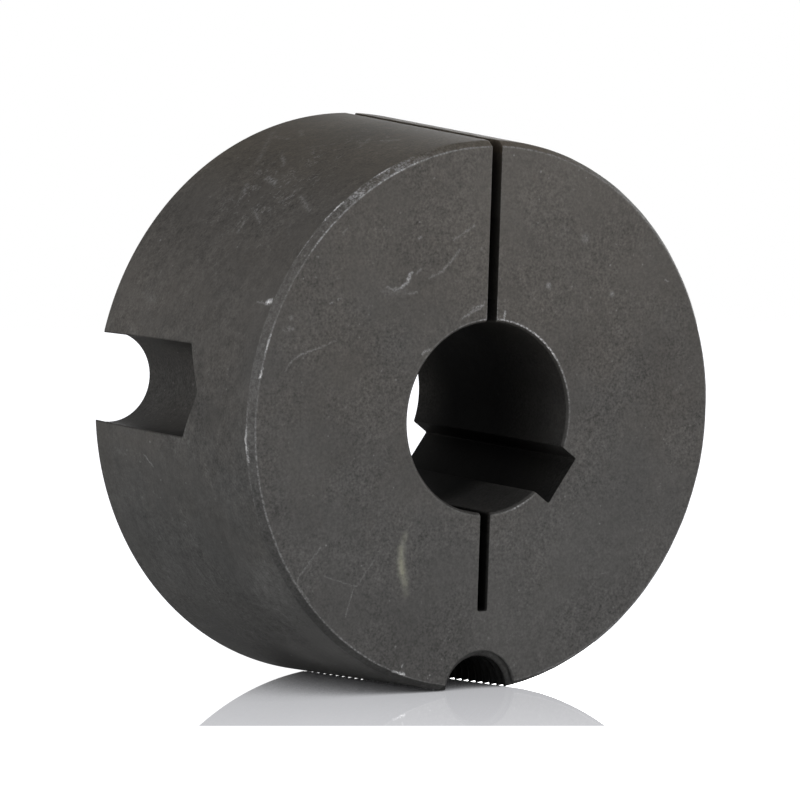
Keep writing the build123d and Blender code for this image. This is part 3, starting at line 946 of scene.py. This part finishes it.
def build_floor():
    mat = bpy.data.materials.new("floor_white")
    mat.use_nodes = True
    tree = mat.node_tree
    tree.nodes.clear()
    g = Graph(tree)
    out = g.node("OutputMaterial")
    P = g.scale(g.node("TexCoord").outputs["Object"], 1000.0)
    # the gloss fades out in a rounded square round the bush
    x, y, z = g.xyz(P)
    ca, sa = math.cos(math.radians(FADE_TURN)), math.sin(math.radians(FADE_TURN))
    yc = g.add(y, 25.4)
    u = g.math("ABSOLUTE", g.add(g.mul(x, ca), g.mul(yc, sa)))
    v = g.math("ABSOLUTE", g.add(g.mul(x, -sa), g.mul(yc, ca)))
    far = g.math("POWER", g.add(g.math("POWER", u, 8.0), g.math("POWER", v, 8.0)), 1 / 8.0)
    fade = g.step(far, FADE_END, FADE_END - FADE_SOFT)
    fres = g.node("Fresnel")
    fres.inputs["IOR"].default_value = 1.5
    lit = g.node("AmbientOcclusion", samples=8, only_local=False)
    lit.inputs["Distance"].default_value = 0.045
    shade = g.math("SUBTRACT", 1.0, g.step(lit.outputs["AO"], 0.0, 0.75))
    shade = g.math("SUBTRACT", 1.0, g.math("POWER", shade, 2.5))
    outward = g.math("MINIMUM", g.math("MAXIMUM", g.mad(far, 0.02, -0.6), 0.0), 1.0)
    shade = g.mul(shade, g.mad(outward, 0.115, 0.885))
    glow = g.node("Emission")
    glow.inputs["Strength"].default_value = 1.27
    glow.inputs["Color"].default_value = (0.98, 0.985, 1.02, 1)
    white = g.node("BsdfDiffuse")
    white.inputs["Color"].default_value = (0.6, 0.6, 0.6, 1)
    gloss = g.node("BsdfGlossy", distribution="GGX")
    gloss.inputs["Roughness"].default_value = 0.0
    gloss.inputs["Color"].default_value = (1, 1, 1, 1)
    path = g.node("LightPath")
    base = g.node("MixShader")
    g.put(base.inputs[0], path.outputs["Is Camera Ray"])
    g.put(base.inputs[1], white.outputs[0])
    g.put(base.inputs[2], glow.outputs[0])
    top = g.node("MixShader")
    # close to the bush the floor mirrors more, so only the mirrored bush darkens there
    clear = g.mul(g.math("SUBTRACT", 1.0, fres.outputs[0]), g.mad(shade, 0.99, 0.01))
    g.put(top.inputs[0], g.mul(g.math("SUBTRACT", 1.0, clear), fade))
    g.put(top.inputs[1], base.outputs[0])
    g.put(top.inputs[2], gloss.outputs[0])
    g.put(out.inputs["Surface"], top.outputs[0])
    return mat


FADE_TURN, FADE_END, FADE_SOFT = -36.5, 80.6, 1.2
floor.data.materials.append(build_floor())

# ---------------------------------------------------------------------------
# Light: a white studio, seen directly and in the floor; the bush itself is lit
# by soft boxes and by a dim fill that is a little stronger from behind.
# ---------------------------------------------------------------------------
world = bpy.data.worlds.new("studio")
world.use_nodes = True
world.node_tree.nodes.clear()
g = Graph(world.node_tree)
path = g.node("LightPath")
first = g.math("LESS_THAN", path.outputs["Ray Depth"], 2.5)
seen = g.most(path.outputs["Is Camera Ray"], g.mul(path.outputs["Is Singular Ray"], first))
gx, gy, gz = g.xyz(g.node("TexCoord").outputs["Generated"])
behind = g.node("MapRange")
g.put(behind.inputs["Value"], gy)
behind.inputs["From Min"].default_value = -0.1
behind.inputs["From Max"].default_value = 1.0
fill = g.mad(behind.outputs[0], 0.25, 0.15)
bg = g.node("Background")
bg.inputs["Color"].default_value = (1, 1, 1, 1)
g.put(bg.inputs["Strength"], g.add(seen, g.mul(g.math("SUBTRACT", 1.0, seen), fill)))
g.put(g.node("OutputWorld").inputs["Surface"], bg.outputs[0])
bpy.context.scene.world = world

CENTRE = Vector((0, -0.0254, 0))
# azimuth and elevation in degrees, side in metres, watts
BOXES = [("key_right", 26, 8, 0.5, 2.86), ("front_right", 15, 20, 0.5, 1.21), ("right_back", 129, 8, 0.5, 2.7),
         ("over_back", 135, 35, 0.5, 0.42), ("left", 265, 4, 0.5, 2.8), ("left_front", 300, 15, 0.5, 0.75)]
for name, azm, elv, side, watts in BOXES:
    a, e = math.radians(azm), math.radians(elv)
    d = Vector((math.sin(a) * math.cos(e), -math.cos(a) * math.cos(e), math.sin(e)))
    light = bpy.data.lights.new(name, "AREA")
    light.shape = "SQUARE"
    light.size = side
    light.energy = watts
    ob = bpy.data.objects.new(name, light)
    bpy.context.scene.collection.objects.link(ob)
    ob.location = CENTRE + d * 0.75
    ob.rotation_euler = d.to_track_quat("Z", "Y").to_euler()
    ob.visible_camera = False

# ---------------------------------------------------------------------------
# Camera
# ---------------------------------------------------------------------------
AZ, EL, ROLL = math.radians(-32.935), math.radians(5.017), math.radians(1.821)
back = Vector((math.sin(AZ) * math.cos(EL), -math.cos(AZ) * math.cos(EL), math.sin(EL)))
right = Vector((math.cos(AZ), math.sin(AZ), 0.0))
up = back.cross(right)
r2 = right * math.cos(ROLL) + up * math.sin(ROLL)
u2 = -right * math.sin(ROLL) + up * math.cos(ROLL)
t = Vector((-11.298, 1.345, 780.925))
eye = -(r2 * t.x + u2 * t.y - back * t.z) * 0.001
cam_data = bpy.data.cameras.new("camera")
cam_data.sensor_width = 36.0
cam_data.lens = 36.0 * 4048.0 / 800.0
cam_data.clip_start = 0.01
cam_data.clip_end = 50.0
cam = bpy.data.objects.new("camera", cam_data)
bpy.context.scene.collection.objects.link(cam)
m = Matrix.Identity(4)
for i in range(3):
    m[i][0], m[i][1], m[i][2], m[i][3] = r2[i], u2[i], back[i], eye[i]
cam.matrix_world = m
bpy.context.scene.camera = cam
bpy.context.scene.view_settings.view_transform = "Standard"
bpy.context.scene.view_settings.look = "None"
